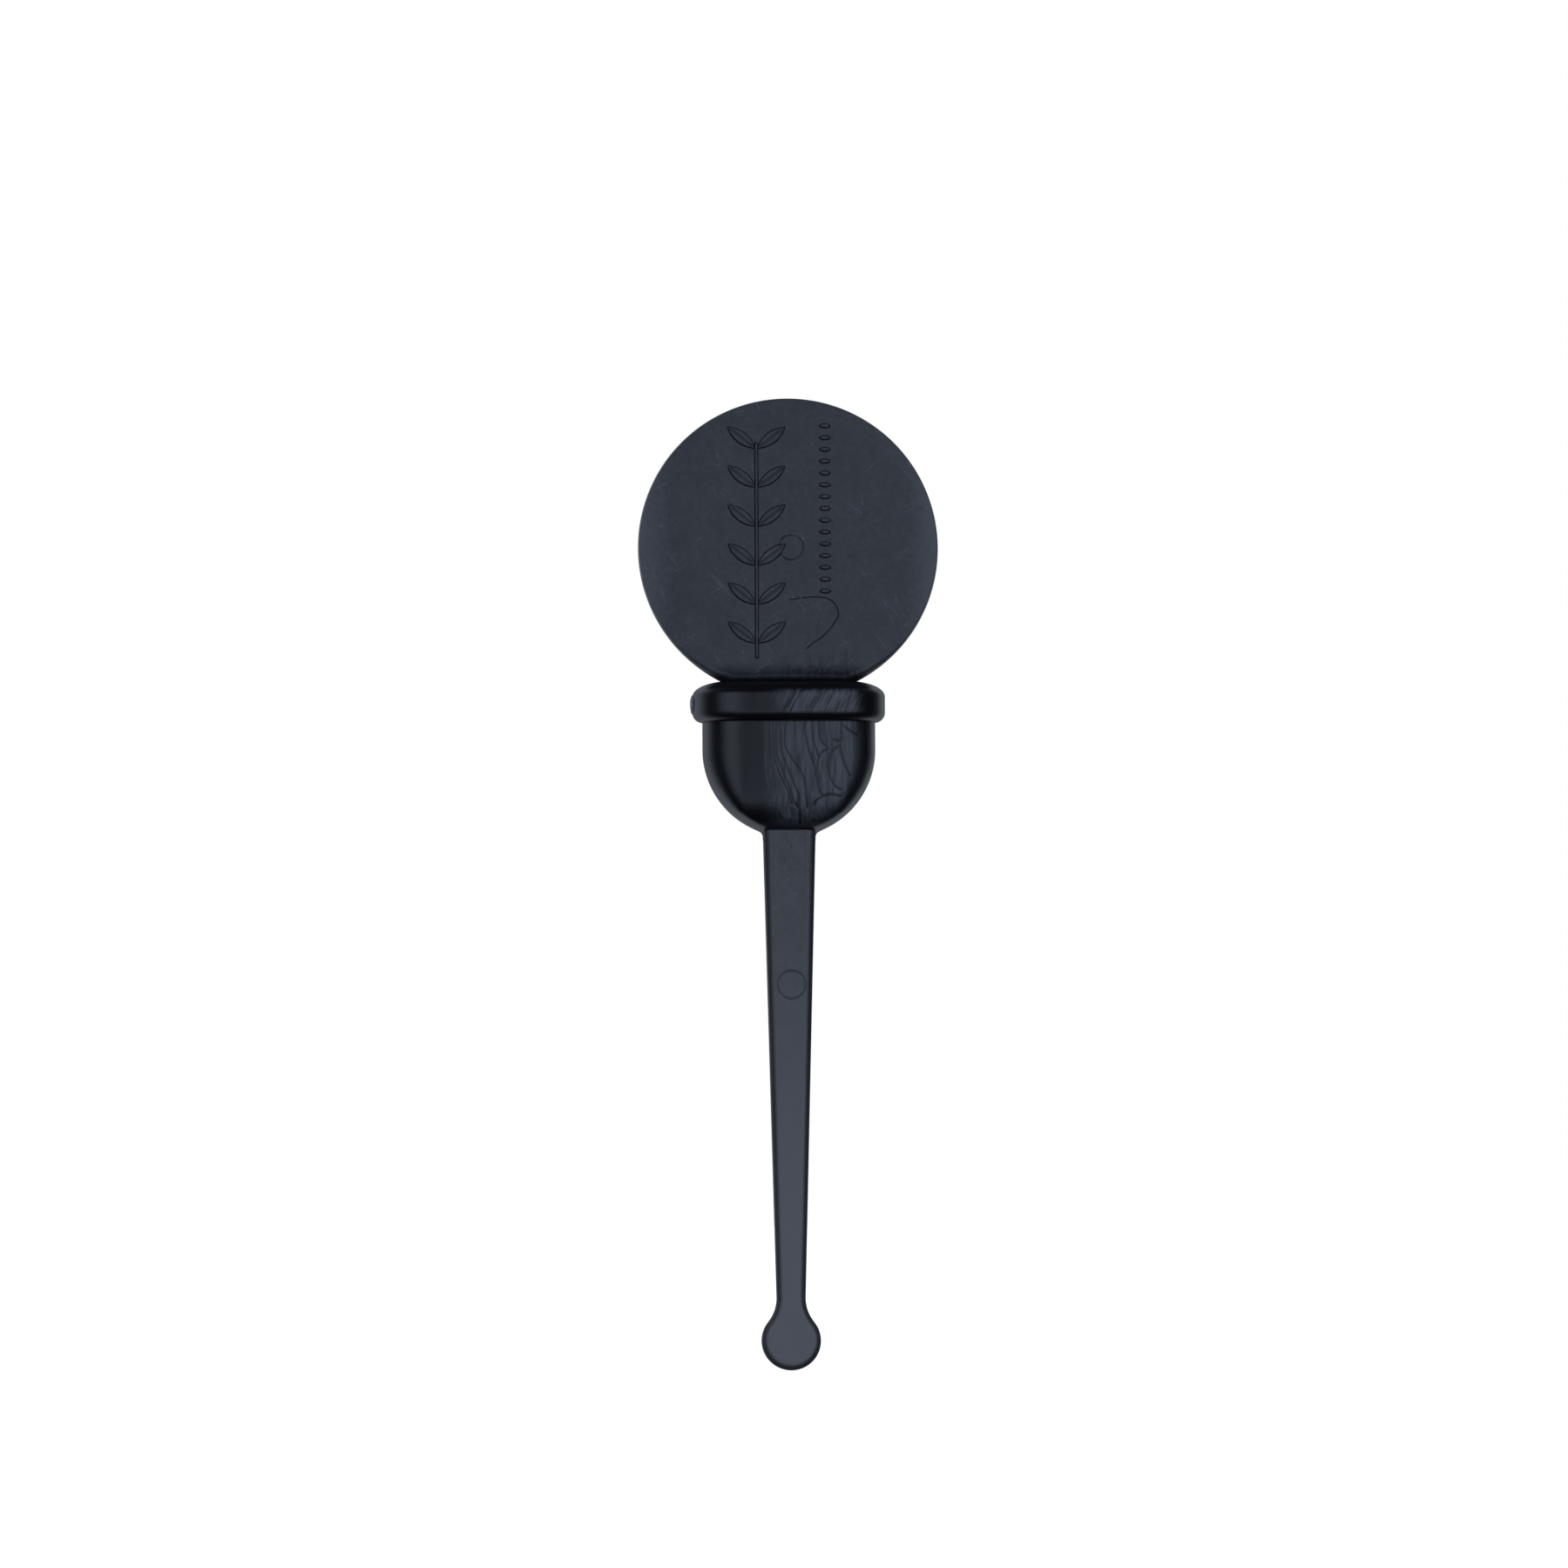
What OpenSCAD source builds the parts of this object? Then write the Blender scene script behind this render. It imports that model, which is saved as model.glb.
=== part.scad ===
// Lid plug with a stir stick: one plastic moulding, drawn as the regions it is made up of.
// Millimetres. +Z runs up the stick to the thumb disc, and the decorated front faces -Y.
// The origin is the centre of the collar's underside, which seats on the cup lid.

/* [Thumb disc] */
// Diameter of the round disc held between finger and thumb
disc_d = 25.4; // [24:0.1:28]
// Thickness of the disc
disc_t = 1.6; // [1.4:0.1:2]
// Rounding of the disc's rim
disc_edge = 0.35; // [0.2:0.05:0.6]
// Height of the disc's centre above the lid
disc_rise = 14.8; // [14.3:0.05:15.3]
// Radius of the fillets that spread the disc into the collar
neck_fillet = 1.4; // [1:0.1:1.8]

/* [Collar] */
// Length of the collar across the front
collar_w = 16.3; // [16:0.1:18]
// Depth of the collar from front to back
collar_depth = 7.6; // [7:0.1:8.5]
// Height of the collar
collar_h = 3.5; // [3.4:0.05:3.8]
// Rounding of the collar's upper edge
collar_top_r = 1.3; // [1:0.1:1.6]
// Rounding of the collar's lower edge
collar_low_r = 0.85; // [0.4:0.05:0.9]

/* [Stopper] */
// Length of the stopper, which fills the oblong drinking hole
stopper_w = 14.6; // [13.5:0.1:15.2]
// Depth of the stopper from front to back
stopper_depth = 5.8; // [5:0.1:6.4]
// Straight height of the stopper under the collar, above its rounded bottom
stopper_straight = 2.3; // [1.5:0.1:3]

/* [Stem] */
// Width of the stem where it leaves the stopper
stem_top_w = 4.48; // [4:0.02:5]
// Width of the stem just above the tip
stem_low_w = 2.44; // [2:0.02:3]
// Thickness of the stem where it leaves the stopper
stem_top_t = 2.4; // [2:0.1:3]
// Thickness of the stem just above the tip, and of the tip
stem_low_t = 1.6; // [1.4:0.1:2]
// Rounding along the edges of the stem and the tip
stem_edge = 0.4; // [0.2:0.05:0.6]

/* [Stir tip] */
// Diameter of the round tip
tip_d = 5; // [4.4:0.1:6]
// Depth of the tip's centre below the lid
tip_drop = 52.05; // [48:0.05:60]
// Radius of the hollow flanks that spread the stem into the tip
tip_flank = 3.2; // [2.6:0.1:4]

/* [Surface marks] */
// Height of the raised decoration
relief_h = 0.2; // [0.1:0.05:0.3]
// Number of leaf pairs on the sprig
leaf_pairs = 6; // [4:1:6]
// Number of seeds in the column beside the sprig
seed_count = 15; // [8:1:15]
// Outer diameter of the ejector pin's ring on the disc
disc_ring_d = 2.2; // [1.8:0.1:2.6]
// Outer diameter of the ejector pin's ring on the stem
stem_ring_d = 2.5; // [2:0.1:2.6]
// Depth of the ejector pins' rings
ring_depth = 0.08; // [0.05:0.01:0.12]

/* [Hidden] */
$fn = 96;
moulded = [0.2, 0.22, 0.26];
moulded_light = [0.3, 0.32, 0.36];
disc_r = disc_d / 2;
neck_z = collar_h + neck_fillet;
collar_r = collar_depth / 2;
stopper_r = stopper_depth / 2;
stopper_half = stopper_w / 2;
// The stem is buried this far inside the stopper's rounded bottom
stem_root = 2;
stem_top_z = stem_root - stopper_straight - stopper_half;
tip_r = tip_d / 2;
stem_half = stem_low_w / 2;
// A flank's centre lies level with the stem's lower end, which it leaves at a tangent
flank_x = stem_half + tip_flank;
flank_up = sqrt(pow(tip_r + tip_flank, 2) - pow(flank_x, 2));
stem_low_z = flank_up - tip_drop;
ring_w = 0.14;
ring_z = -22.15;
disc_ring_x = 0.2;
// The sprig's foot, beside and below the disc's centre
sprig_x = -2.7;
sprig_foot = -9.5;
leaf_pitch = 3.3;
leaf_l = 3.2;
leaf_w = 1.15;
leaf_lean = 38;
twig_w = 0.4;
// Height of the lowest leaves above the sprig's foot
twig_foot = 1.3;
// The topmost seed, beside and above the disc's centre
seed_x = 3.1;
seed_top = 10.3;
seed_pitch = 1;
seed_l = 1.1;
seed_w = 0.55;
gate_r = 0.8;
gate_z = 1.55;
gate_proud = 0.25;
// Spare length on a cut
slack = 1;
// Height of the slices that the stem's hull spans
slice_h = 0.01;

// Stands a shape drawn in X and Y up in the XZ plane, centred on y = 0
module upright(thickness) {
    rotate([90, 0, 0]) linear_extrude(thickness, center = true) children();
}

// Stands a shape up on the disc's front face, raised by the relief's height
module on_disc_front() {
    translate([0, -disc_t / 2, disc_rise]) rotate([90, 0, 0]) linear_extrude(relief_h) children();
}

// Half section of a round plate with a rounded rim, in radius and thickness
module rim_section(radius, thickness, edge) {
    half = thickness / 2;
    if (half > edge) translate([0, edge - half]) square([radius, thickness - 2 * edge]);
    translate([0, -half]) square([radius - edge, thickness]);
    for (side = [-1, 1]) translate([radius - edge, side * (half - edge)]) circle(r = edge);
}

// Round plate with a rounded rim, standing in the XZ plane
module round_plate(radius, thickness, edge) {
    rotate([90, 0, 0]) rotate_extrude() intersection() {
        rim_section(radius, thickness, edge);
        translate([0, -thickness]) square([radius, 2 * thickness]);
    }
}

// Oblong with semicircular ends, seen from above
module oblong(length, depth) {
    square([length - depth, depth], center = true);
    for (side = [-1, 1]) translate([side * (length - depth) / 2, 0]) circle(d = depth);
}

// Ring-shaped groove left by an ejector pin, sunk into a face that looks towards -Y
module pin_ring(diameter, face_y) {
    translate([0, face_y + ring_depth, 0]) rotate([90, 0, 0]) difference() {
        cylinder(d = diameter, h = slack);
        translate([0, 0, -slack]) cylinder(d = diameter - 2 * ring_w, h = 3 * slack);
    }
}

// Flat round finger tab, cut level where the neck takes over
module thumb_disc() {
    color(moulded) difference() {
        translate([0, 0, disc_rise]) round_plate(disc_r, disc_t, disc_edge);
        translate([-disc_r, -disc_t, neck_z - disc_d]) cube([disc_d, 2 * disc_t, disc_d]);
        translate([disc_ring_x, 0, disc_rise]) pin_ring(disc_ring_d, -disc_t / 2);
    }
}

// One leaf outline, pointing along +X from its foot at the origin
module leaf() {
    bow = (leaf_l * leaf_l / leaf_w + leaf_w) / 4;
    translate([leaf_l / 2, 0]) intersection_for(side = [-1, 1])
        translate([0, side * (bow - leaf_w / 2)]) circle(r = bow);
}

// Twig with pairs of leaves, raised on the disc beside its centre line
module sprig_relief() {
    color(moulded_light) on_disc_front() translate([sprig_x, sprig_foot]) {
        for (row = [0 : leaf_pairs - 1], side = [0, 1])
            translate([0, twig_foot + row * leaf_pitch]) mirror([side, 0]) rotate(leaf_lean) leaf();
        translate([-twig_w / 2, 0]) square([twig_w, leaf_pairs * leaf_pitch - twig_foot]);
    }
}

// Column of small oval seeds, raised on the disc
module seed_relief() {
    color(moulded_light) on_disc_front() for (row = [0 : seed_count - 1])
        translate([seed_x, seed_top - row * seed_pitch]) scale([1, seed_w / seed_l])
            circle(d = seed_l);
}

// Foot of the disc, spreading in two hollow fillets onto the collar
module disc_neck() {
    spread = disc_t / 2 + neck_fillet;
    color(moulded) difference() {
        intersection() {
            translate([0, 0, disc_rise]) upright(2 * spread) circle(r = disc_r);
            translate([0, 0, collar_h + neck_fillet / 2])
                cube([disc_d, 2 * spread, neck_fillet], center = true);
        }
        for (side = [-1, 1]) translate([0, side * spread, neck_z]) rotate([0, 90, 0])
            cylinder(r = neck_fillet, h = disc_d, center = true);
    }
}

// Half section of the collar's end, in radius and height
module collar_section() {
    translate([0, collar_low_r]) square([collar_r, collar_h - collar_low_r - collar_top_r]);
    square([collar_r - collar_low_r, collar_h / 2]);
    translate([0, collar_h / 2]) square([collar_r - collar_top_r, collar_h / 2]);
    translate([collar_r - collar_low_r, collar_low_r]) circle(r = collar_low_r);
    translate([collar_r - collar_top_r, collar_h - collar_top_r]) circle(r = collar_top_r);
}

// Rounded oblong bead, shared by the collar and the cut that fits the gate's stub to it
module collar_solid() {
    length = collar_w - collar_depth;
    for (side = [-1, 1]) translate([side * length / 2, 0, 0]) rotate_extrude() collar_section();
    rotate([90, 0, 90]) linear_extrude(length, center = true) for (side = [0, 1])
        mirror([side, 0]) collar_section();
}

// Bead that stops the plug on the lid
module seal_collar() {
    color(moulded) collar_solid();
}

// Oblong plug: straight at the top, then rounded off like the end of a pebble
module stopper_plug() {
    color(moulded_light) difference() {
        union() {
            translate([0, 0, -stopper_straight]) linear_extrude(stopper_straight)
                oblong(stopper_w, stopper_depth);
            translate([0, 0, -stopper_straight]) intersection() {
                round_plate(stopper_half, stopper_depth, stopper_r);
                translate([0, 0, -stopper_half]) cube([2 * stopper_w, stopper_w, stopper_w], center = true);
            }
        }
        stem_solid();
    }
}

// Thin slice of the stem at one height, with rounded corners
module stem_slice(z, width, thickness) {
    translate([0, 0, z]) linear_extrude(slice_h) for (x = [-1, 1], y = [-1, 1])
        translate([x * (width / 2 - stem_edge), y * (thickness / 2 - stem_edge)])
            circle(r = stem_edge, $fn = 32);
}

// Tapering bar, shared by the stem and by the pocket that it fills in the stopper
module stem_solid() {
    hull() {
        stem_slice(stem_top_z - slice_h, stem_top_w, stem_top_t);
        stem_slice(stem_low_z, stem_low_w, stem_low_t);
    }
}

// Flat tapering stick
module stem() {
    ring_t = stem_top_t + (stem_low_t - stem_top_t) * (stem_top_z - ring_z) / (stem_top_z - stem_low_z);
    color(moulded) difference() {
        stem_solid();
        translate([0, 0, ring_z]) pin_ring(stem_ring_d, -ring_t / 2);
    }
}

// Section of the cutter that hollows one flank and rounds its edges
module flank_section() {
    half = stem_low_t / 2;
    difference() {
        translate([0, -half - slack]) square([tip_flank + stem_edge, stem_low_t + 2 * slack]);
        translate([tip_flank, stem_edge - half]) square([slack, stem_low_t - 2 * stem_edge]);
        for (side = [-1, 1])
            translate([tip_flank + stem_edge, side * (half - stem_edge)]) circle(r = stem_edge);
    }
}

// Outline that parts the flare from the tip: straight out along the lines between the tip's
// centre and the flanks' centres, where the round rim and the hollow flank are tangent
module flare_outline() {
    inner = (tip_r - 2 * stem_edge) / (tip_r + tip_flank);
    foot = [flank_x, flank_up] * inner;
    polygon([foot, [flank_x, flank_up], [-flank_x, flank_up], [-foot.x, foot.y]]);
}

// Widening foot of the stem, with a hollow flank on each side
module tip_flare() {
    color(moulded) translate([0, 0, -tip_drop]) difference() {
        upright(stem_low_t) flare_outline();
        for (side = [0, 1]) mirror([side, 0, 0]) translate([flank_x, 0, flank_up])
            rotate([90, 0, 0]) rotate_extrude() flank_section();
    }
}

// Round tip that stirs
module stir_tip() {
    color(moulded_light) translate([0, 0, -tip_drop]) difference() {
        round_plate(tip_r, stem_low_t, stem_edge);
        upright(2 * stem_low_t) flare_outline();
    }
}

// Stub left at the collar's end where the plastic was fed in
module gate_vestige() {
    reach = collar_w / 2 + gate_proud;
    color(moulded_light) difference() {
        translate([-reach, 0, gate_z]) rotate([0, 90, 0]) cylinder(r = gate_r, h = gate_r);
        collar_solid();
    }
}

thumb_disc();
sprig_relief();
seed_relief();
disc_neck();
seal_collar();
stopper_plug();
stem();
tip_flare();
stir_tip();
gate_vestige();
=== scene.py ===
"""A plug for the drinking hole of a hot-cup lid, with a thumb disc above it and a stir stick below it.

The plug is one black plastic moulding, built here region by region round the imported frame.
"""
import math
import bmesh
import bpy
import numpy as np
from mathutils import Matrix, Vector


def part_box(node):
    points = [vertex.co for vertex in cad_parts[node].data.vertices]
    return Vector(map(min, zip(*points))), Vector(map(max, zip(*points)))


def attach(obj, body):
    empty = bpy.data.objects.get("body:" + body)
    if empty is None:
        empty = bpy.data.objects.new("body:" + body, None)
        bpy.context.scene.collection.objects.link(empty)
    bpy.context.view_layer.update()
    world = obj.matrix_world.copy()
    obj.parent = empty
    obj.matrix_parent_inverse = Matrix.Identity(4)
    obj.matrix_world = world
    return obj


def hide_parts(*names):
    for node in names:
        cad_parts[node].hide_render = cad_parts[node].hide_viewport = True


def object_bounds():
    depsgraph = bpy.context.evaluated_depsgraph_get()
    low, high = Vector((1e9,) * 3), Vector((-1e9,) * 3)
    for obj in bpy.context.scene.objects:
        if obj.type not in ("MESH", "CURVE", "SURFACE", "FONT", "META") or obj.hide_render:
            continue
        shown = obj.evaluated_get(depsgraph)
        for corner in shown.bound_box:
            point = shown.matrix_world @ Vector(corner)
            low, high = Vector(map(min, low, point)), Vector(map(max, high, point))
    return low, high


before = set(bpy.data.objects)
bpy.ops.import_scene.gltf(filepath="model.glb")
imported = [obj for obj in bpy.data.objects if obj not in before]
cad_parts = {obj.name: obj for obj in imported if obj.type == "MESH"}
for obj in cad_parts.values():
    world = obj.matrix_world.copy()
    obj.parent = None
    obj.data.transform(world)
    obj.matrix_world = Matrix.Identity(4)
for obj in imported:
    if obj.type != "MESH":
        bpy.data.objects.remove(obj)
cad_low, cad_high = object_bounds()
MM = 0.001

# ---------------------------------------------------------------------------------------------
# The studio. The plug stands upright against white, seen square on from well back. Two tall soft
# lights in front make its faces grey. Between them and at the sides it is dark, so edges and
# rounded ends go black, and the white behind it brightens the outermost rims.


class Wire:
    """A node's output. An expression on wires adds the Math nodes that work it out."""

    def __init__(self, tree, socket=None):
        self.tree = tree
        self.socket = socket

    def node(self, kind, settings, inputs, out=0):
        """Adds a node with its settings made first, then feeds its sockets with values or wires."""
        made = self.tree.nodes.new(kind)
        for key, value in settings.items():
            setattr(made, key, value)
        for key, value in inputs.items():
            if isinstance(value, Wire):
                self.tree.links.new(value.socket, made.inputs[key])
            else:
                made.inputs[key].default_value = value
        return Wire(self.tree, made.outputs[out])

    def maths(self, operation, first, second):
        return self.node("ShaderNodeMath", {"operation": operation}, {0: first, 1: second})

    def __add__(self, other):
        return self.maths("ADD", self, other)

    def __sub__(self, other):
        return self.maths("SUBTRACT", self, other)

    def __rsub__(self, other):
        return self.maths("SUBTRACT", other, self)

    def __mul__(self, other):
        return self.maths("MULTIPLY", self, other)

    def __neg__(self):
        return self * -1

    __radd__ = __add__
    __rmul__ = __mul__

    def size(self):
        """The value without its sign."""
        return self.maths("ABSOLUTE", self, 0)

    def rise(self, low, high):
        """0 below low, 1 above high, smooth between them. A low above high falls instead."""
        limits = {"From Min": min(low, high), "From Max": max(low, high)}
        smooth = {"interpolation_type": "SMOOTHSTEP"}
        risen = self.node("ShaderNodeMapRange", smooth, {"Value": self, **limits})
        return risen if low < high else 1 - risen

    def window(self, low, high, soft):
        """1 between low and high, fading out over soft on both sides."""
        return self.rise(low - soft, low) * self.rise(high + soft, high)

    def blend(self, first, second):
        """Mixes two colours by this wire."""
        return self.node("ShaderNodeMix", {"data_type": "RGBA"}, {0: self, 6: first, 7: second}, out=2)


scene = bpy.context.scene
scene.view_settings.view_transform = "Standard"
VIEW_WIDTH = 132.35 * MM
AIM_X = -0.56 * MM
AIM_Z = -5.17 * MM
LENS = 180
SENSOR = 36
CAMERA_BACK = VIEW_WIDTH * LENS / SENSOR
CAMERA_UP = math.radians(3)
CAMERA_LEFT = math.radians(3)
CAMERA_ROLL = math.radians(0.23)
camera = bpy.data.objects.new("camera", bpy.data.cameras.new("camera"))
camera.data.lens = LENS
camera.data.sensor_width = SENSOR
camera.data.clip_start = 0.01
level = CAMERA_BACK * math.cos(CAMERA_UP)
camera.location = (AIM_X - level * math.sin(CAMERA_LEFT), -level * math.cos(CAMERA_LEFT),
                   AIM_Z - CAMERA_BACK * math.sin(CAMERA_UP))
camera.rotation_euler = (math.radians(90) + CAMERA_UP, CAMERA_ROLL, -CAMERA_LEFT)
scene.collection.objects.link(camera)
scene.camera = camera

FLOOR_REACH = 3.0
floor_z = cad_low.z - 0.05 * MM
corners = [(x * FLOOR_REACH, y * FLOOR_REACH, floor_z) for x, y in ((-1, -1), (1, -1), (1, 1), (-1, 1))]
floor_mesh = bpy.data.meshes.new("floor")
floor_mesh.from_pydata(corners, [], [(0, 1, 2, 3)])
floor = bpy.data.objects.new("floor", floor_mesh)
scene.collection.objects.link(floor)
floor.visible_glossy = False
floor.visible_diffuse = False
pale = bpy.data.materials.new("pale_floor")
pale.use_nodes = True
pale_shader = pale.node_tree.nodes["Principled BSDF"]
pale_shader.inputs["Base Color"].default_value = (0.9, 0.9, 0.9, 1)
pale_shader.inputs["Roughness"].default_value = 0.9
pale_shader.inputs["Emission Color"].default_value = (1, 1, 1, 1)
pale_shader.inputs["Emission Strength"].default_value = 0.95
floor_mesh.materials.append(pale)

# Only the camera sees the surround as plain white. The plug sees it bright behind, dark in front.
world = bpy.data.worlds.new("white_surround")
world.use_nodes = True
scene.world = world
sky = Wire(world.node_tree)
sky_way = sky.node("ShaderNodeTexCoord", {}, {}, out=0)
sky_x = sky.node("ShaderNodeSeparateXYZ", {}, {0: sky_way}, out=0)
sky_y = sky.node("ShaderNodeSeparateXYZ", {}, {0: sky_way}, out=1)
seen = sky.node("ShaderNodeLightPath", {}, {}, out=0)
behind = (sky_y - 0.17 * sky_x).rise(-0.02, 0.5)
glow = 0.02 + 0.88 * behind * (1 - 0.65 * sky_y.rise(0.55, 0.95))
tinted = seen.blend((0.90, 1.0, 1.15, 1), (1, 1, 1, 1))
backdrop = world.node_tree.nodes["Background"]
world.node_tree.links.new(tinted.socket, backdrop.inputs["Color"])
world.node_tree.links.new((seen + (1 - seen) * glow).socket, backdrop.inputs["Strength"])
LAMP_TINT = (0.87, 1.0, 1.24)


def soft_light(name, place, aim, width, height, radiance):
    """A soft box of even radiance, turned towards a point and unseen by the camera."""
    lamp = bpy.data.lights.new(name, "AREA")
    lamp.shape = "RECTANGLE"
    lamp.size = width
    lamp.size_y = height
    lamp.energy = radiance * math.pi * width * height
    lamp.color = LAMP_TINT
    box = bpy.data.objects.new(name, lamp)
    box.location = place
    box.rotation_euler = (Vector(place) - Vector(aim)).to_track_quat("Z", "Y").to_euler()
    box.visible_camera = False
    scene.collection.objects.link(box)


soft_light("left_softbox", (-0.206, -0.343, 0.09), (0, 0, 0), 0.24, 0.32, 1.10)
soft_light("right_softbox", (0.170, -0.362, 0.09), (0, 0, 0), 0.22, 0.32, 1.32)
soft_light("low_fill", (0.0, -0.36, -0.09), (0, 0, -0.01), 0.34, 0.07, 0.9)
soft_light("front_fill", (0.0, -0.60, 0.0), (0, 0, 0), 0.44, 0.40, 0.13)

# ---------------------------------------------------------------------------------------------
# The thumb disc and its neck. A flat black polypropylene disc whose faces are finely spark
# textured, moulded in one with the two hollow fillets that spread it onto the collar.

disc_low, disc_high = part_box("thumb_disc")
neck_low, neck_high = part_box("disc_neck")
DISC_R = disc_high.x
DISC_Z = disc_high.z - DISC_R
DISC_HALF = disc_high.y
COLLAR_TOP = neck_low.z
NECK_SINK = 0.35 * MM
NECK_FILLET = neck_high.z - neck_low.z + 0.4 * MM
RIM_WIDTH = 1.8 * MM
RIM_DROP = 0.13 * MM
DISC_DRAFT = math.tan(math.radians(9))
SKIN = 0.012 * MM
PIN_X = 0.2 * MM
PIN_R = 1.05 * MM
PIN_GROOVE = 0.05 * MM


def bump_line(distance, width):
    """Height of a smooth ridge of unit height at a distance from its middle."""
    return np.exp(-(distance / width) ** 2)


def face_height(x, z):
    """Height of the disc's face over its middle plane, with neck fillets and rim roll-off."""
    below = np.clip(COLLAR_TOP + NECK_FILLET - z, 0, NECK_FILLET)
    fillet = NECK_FILLET - np.sqrt(NECK_FILLET ** 2 - below ** 2 * 0.999)
    rim = np.clip((np.hypot(x, z - DISC_Z) - (DISC_R - RIM_WIDTH)) / RIM_WIDTH, 0, 1)
    return DISC_HALF + fillet - RIM_DROP * rim ** 2 - SKIN


def piece_from(name, points, faces, material, groove=None):
    """Makes a smooth piece in place, with points that coincide merged and its faces turned outwards."""
    mesh = bpy.data.meshes.new(name)
    mesh.from_pydata([tuple(p) for p in points], [], faces)
    # The attribute holds painted shade: how far each point's colour goes to near black.
    if groove is not None:
        shade_layer = mesh.attributes.new("groove", "FLOAT", "POINT")
        shade_layer.data.foreach_set("value", np.array(groove).ravel())
    work = bmesh.new()
    work.from_mesh(mesh)
    bmesh.ops.remove_doubles(work, verts=work.verts, dist=1e-7)
    bmesh.ops.recalc_face_normals(work, faces=work.faces)
    work.to_mesh(mesh)
    work.free()
    mesh.polygons.foreach_set("use_smooth", [True] * len(mesh.polygons))
    mesh.materials.append(material)
    made = bpy.data.objects.new(name, mesh)
    scene.collection.objects.link(made)
    return made


def net_faces(rows, columns, first=0, round_columns=False):
    """Four-sided faces of a net of points laid row by row, its rows closed into rings if asked."""
    faces = []
    for i in range(rows - 1):
        for j in range(columns if round_columns else columns - 1):
            k = (j + 1) % columns
            near = first + i * columns
            far = near + columns
            faces.append([near + j, near + k, far + k, far + j])
    return faces


def plastic(name):
    """A black plastic's material, its Principled shader, and Object coordinates in millimetres."""
    material = bpy.data.materials.new(name)
    material.use_nodes = True
    shader = material.node_tree.nodes["Principled BSDF"]
    shader.inputs["IOR"].default_value = 1.49
    start = Wire(material.node_tree)
    coords = start.node("ShaderNodeTexCoord", {}, {}, out=3)
    at = start.node("ShaderNodeVectorMath", {"operation": "SCALE"}, {0: coords, "Scale": 1 / MM})
    return material, shader, at


def across_and_up(at):
    """The coordinate across the plug and the one up it."""
    return [at.node("ShaderNodeSeparateXYZ", {}, {0: at}, out) for out in (0, 2)]


def groove_of(at):
    """How much painted shade the mesh carries at a place, from 0 to 1."""
    return at.node("ShaderNodeAttribute", {"attribute_name": "groove"}, {}, out=2)


def noise(at, scale, detail=2.0, stretch=(1, 1, 1), turn=0.0, warp=0.0):
    """Fractal noise of 0 to 1 on stretched coordinates, turned in the plane of the disc."""
    placed = at.node("ShaderNodeMapping", {}, {0: at, "Rotation": (0, turn, 0)})
    pulled = at.node("ShaderNodeVectorMath", {"operation": "MULTIPLY"}, {0: placed, 1: stretch})
    return at.node("ShaderNodeTexNoise", {}, {"Vector": pulled, "Scale": scale, "Detail": detail,
                                              "Distortion": warp})


def feed(shader, wires):
    """Feeds sockets of the shader with wires."""
    for name, wire in wires.items():
        wire.tree.links.new(wire.socket, shader.inputs[name])


def scratches(at, turn, scale, fine):
    """Thin straight scratches in one direction: the crests of a long drawn-out noise."""
    drawn = noise(at, scale, 1.0, (0.06, 1, 1), turn, 0.3)
    return (drawn - 0.5).size().rise(fine, 0.0)


def spots(at, scale, radius, share):
    """Small round specks in a share of the cells of a scattered pattern."""
    cells = at.node("ShaderNodeTexVoronoi", {}, {"Vector": at, "Scale": scale}, out=0)
    chance = at.node("ShaderNodeTexVoronoi", {}, {"Vector": at, "Scale": scale}, out=1)
    draw = at.node("ShaderNodeSeparateColor", {}, {0: chance}, out=0)
    return cells.rise(radius, radius * 0.4) * draw.rise(share, share * 0.6)


def texture_bump(shader, height, distance):
    """Bumps the shader's normal by a height of 0 to 1 over a real distance."""
    bump = height.node("ShaderNodeBump", {}, {"Height": height, "Distance": distance, "Strength": 1.0})
    feed(shader, {"Normal": bump})


# Near black: the colour of painted shade and of the flow streaks.
DARK = (0.003, 0.004, 0.006, 1)
# Painted light: the paler colour of the disc's rim, where its roll-off catches the light.
RIM_PAINTED_LIGHT = (0.115, 0.121, 0.133, 1)
SCUFFED = (0.22, 0.22, 0.22, 1)
SCRATCH_WAYS = ((0.5, 1.1, 0.006), (-0.9, 0.9, 0.005), (1.9, 1.3, 0.005))
MATTE_GRAIN = 0.012 * MM


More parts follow.
